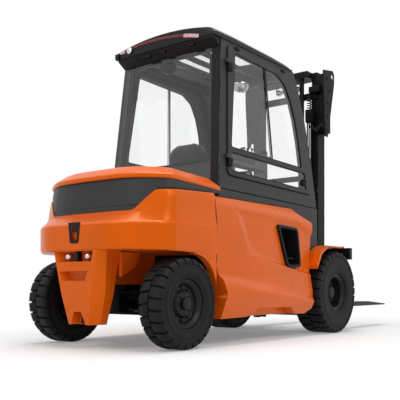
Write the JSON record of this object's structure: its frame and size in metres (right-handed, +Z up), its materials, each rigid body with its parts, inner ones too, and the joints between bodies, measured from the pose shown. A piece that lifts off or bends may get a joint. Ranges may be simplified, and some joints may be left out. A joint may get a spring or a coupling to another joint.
{
  "type": "electric counterbalance forklift truck",
  "caption": "Four-wheel electric forklift with closed cab, rear-wheel steering, two-stage tilting mast and twin forks.",
  "frame": {"origin": "on the floor under the middle of the machine's box", "axes": "+X forwards to the forks, +Y to the driver's left, +Z up"},
  "size_m": [4.6026, 1.572, 2.854],
  "materials": {
    "orange_paint": "gloss",
    "cast_orange": "gloss over cast iron",
    "black_steel": "satin",
    "cab_grey": "satin",
    "roof_black": "satin",
    "fork_steel": "satin",
    "bright_steel": "polished",
    "black_plastic": "fine grain",
    "interior_plastic": "fine grain",
    "seat_fabric": "woven",
    "tinted_glass": "tinted, clear",
    "tyre_rubber": "matt",
    "rim_black": "satin"
  },
  "bodies": {
    "truck": {"chassis_frame": "black_steel", "counterweight": "cast_orange", "rear_band": "cab_grey", "rear_hood": "orange_paint", "tow_frame": "black_plastic", "side_panel_left": "orange_paint", "side_panel_right": "orange_paint", "step_box_left": "black_plastic", "step_box_right": "black_plastic", "front_fender_left": "orange_paint", "front_fender_right": "orange_paint", "battery_block": "interior_plastic", "seat_deck": "cab_grey", "cab_side_left": "cab_grey", "cab_side_right": "cab_grey", "rear_frame": "cab_grey", "roof_frame": "cab_grey", "cab_cladding_left": "cab_grey", "cab_cladding_right": "cab_grey", "roof_panel": "roof_black", "roof_window": "tinted_glass", "rear_window": "tinted_glass", "windscreen": "tinted_glass", "dash_console": "interior_plastic", "seat_base": "interior_plastic", "seat_cushion": "seat_fabric", "seat_back": "seat_fabric", "steering_column": "interior_plastic", "drive_axle": "black_steel", "steer_axle": "black_steel"},
    "door_left": {"door_frame_left": "cab_grey", "door_glass_left": "tinted_glass", "door_low_glass_left": "tinted_glass"},
    "door_right": {"door_frame_right": "cab_grey", "door_glass_right": "tinted_glass", "door_low_glass_right": "tinted_glass"},
    "steering_wheel": {"steering_wheel": "interior_plastic"},
    "knuckle_left": {"knuckle_left": "black_steel"},
    "knuckle_right": {"knuckle_right": "black_steel"},
    "steer_rod": {"steer_rod": "bright_steel"},
    "wheel_front_left": {"tyre_front_left": "tyre_rubber", "rim_front_left": "rim_black"},
    "wheel_front_right": {"tyre_front_right": "tyre_rubber", "rim_front_right": "rim_black"},
    "wheel_rear_left": {"tyre_rear_left": "tyre_rubber", "rim_rear_left": "rim_black"},
    "wheel_rear_right": {"tyre_rear_right": "tyre_rubber", "rim_rear_right": "rim_black"},
    "mast": {"mast_outer": "black_steel", "lift_barrel_left": "black_steel", "lift_barrel_right": "black_steel"},
    "mast_inner": {"mast_inner": "black_steel", "chain_pulleys": "bright_steel"},
    "carriage": {"fork_carriage": "black_steel", "fork_left": "fork_steel", "fork_right": "fork_steel"},
    "tilt_barrel_left": {"tilt_barrel_left": "black_steel"},
    "tilt_barrel_right": {"tilt_barrel_right": "black_steel"},
    "tilt_rod_left": {"tilt_rod_left": "bright_steel"},
    "tilt_rod_right": {"tilt_rod_right": "bright_steel"}
  },
  "joints": [
    {"name": "front_left_roll", "type": "hinge", "parent": "truck", "child": "wheel_front_left", "pos_m": [0.59385, 0.631, 0.4185], "axis": [0, 1, 0], "continuous": true},
    {"name": "front_right_roll", "type": "hinge", "parent": "truck", "child": "wheel_front_right", "pos_m": [0.59385, -0.631, 0.4185], "axis": [0, 1, 0], "continuous": true},
    {"name": "rear_left_roll", "type": "hinge", "parent": "knuckle_left", "child": "wheel_rear_left", "pos_m": [-1.81115, 0.63, 0.353], "axis": [0, 1, 0], "continuous": true},
    {"name": "rear_right_roll", "type": "hinge", "parent": "knuckle_right", "child": "wheel_rear_right", "pos_m": [-1.81115, -0.63, 0.353], "axis": [0, 1, 0], "continuous": true},
    {"name": "steer", "type": "hinge", "parent": "truck", "child": "knuckle_left", "pos_m": [-1.81115, 0.5, 0.353], "axis": [0, 0, 1], "range_deg": [-68, 68]},
    {"name": "steer_right", "type": "hinge", "parent": "truck", "child": "knuckle_right", "pos_m": [-1.81115, -0.5, 0.353], "axis": [0, 0, 1], "range_deg": [-68, 68]},
    {"name": "steer_rod_slide", "type": "slide", "parent": "truck", "child": "steer_rod", "axis": [0, 1, 0], "range_m": [-0.06, 0.06]},
    {"name": "steering_wheel_turn", "type": "hinge", "parent": "truck", "child": "steering_wheel", "pos_m": [-0.12115, 0, 1.56], "axis": [-0.5021, 0, 0.8648], "range_deg": [-810, 810]},
    {"name": "door_left_open", "type": "hinge", "parent": "truck", "child": "door_left", "pos_m": [-1.16115, 0.65145, 1.43], "axis": [0.0784, -0.0557, 0.9954], "range_deg": [0, 85]},
    {"name": "door_right_open", "type": "hinge", "parent": "truck", "child": "door_right", "pos_m": [-1.16115, -0.65145, 1.43], "axis": [-0.0784, -0.0557, -0.9954], "range_deg": [0, 85]},
    {"name": "mast_tilt", "type": "hinge", "parent": "truck", "child": "mast", "pos_m": [0.75085, 0, 0.33], "axis": [0, -1, 0], "range_deg": [-5, 8]},
    {"name": "mast_lift", "type": "slide", "parent": "mast", "child": "mast_inner", "axis": [0, 0, 1], "range_m": [-0.12, 1.55]},
    {"name": "carriage_lift", "type": "slide", "parent": "mast_inner", "child": "carriage", "axis": [0, 0, 1], "range_m": [-0.12, 1.55]},
    {"name": "tilt_barrel_left_swing", "type": "hinge", "parent": "truck", "child": "tilt_barrel_left", "pos_m": [0.17385, 0.372, 0.7], "axis": [0, -1, 0], "range_deg": [-2, 3]},
    {"name": "tilt_rod_left_slide", "type": "slide", "parent": "tilt_barrel_left", "child": "tilt_rod_left", "axis": [0.9954, 0, 0.0956], "range_m": [-0.09, 0.06]},
    {"name": "tilt_barrel_right_swing", "type": "hinge", "parent": "truck", "child": "tilt_barrel_right", "pos_m": [0.17385, -0.372, 0.7], "axis": [0, -1, 0], "range_deg": [-2, 3]},
    {"name": "tilt_rod_right_slide", "type": "slide", "parent": "tilt_barrel_right", "child": "tilt_rod_right", "axis": [0.9954, 0, 0.0956], "range_m": [-0.09, 0.06]}
  ],
  "couplings": [
    {"joint": "steer_right", "follows": "steer", "ratio": 1},
    {"joint": "steer_rod_slide", "follows": "steer", "m_per_rad": 0.045},
    {"joint": "carriage_lift", "follows": "mast_lift", "ratio": 1},
    {"joint": "tilt_rod_left_slide", "follows": "mast_tilt", "m_per_rad": -0.4238},
    {"joint": "tilt_barrel_left_swing", "follows": "mast_tilt", "ratio": 0.1327},
    {"joint": "tilt_rod_right_slide", "follows": "mast_tilt", "m_per_rad": -0.4238},
    {"joint": "tilt_barrel_right_swing", "follows": "mast_tilt", "ratio": 0.1327}
  ]
}
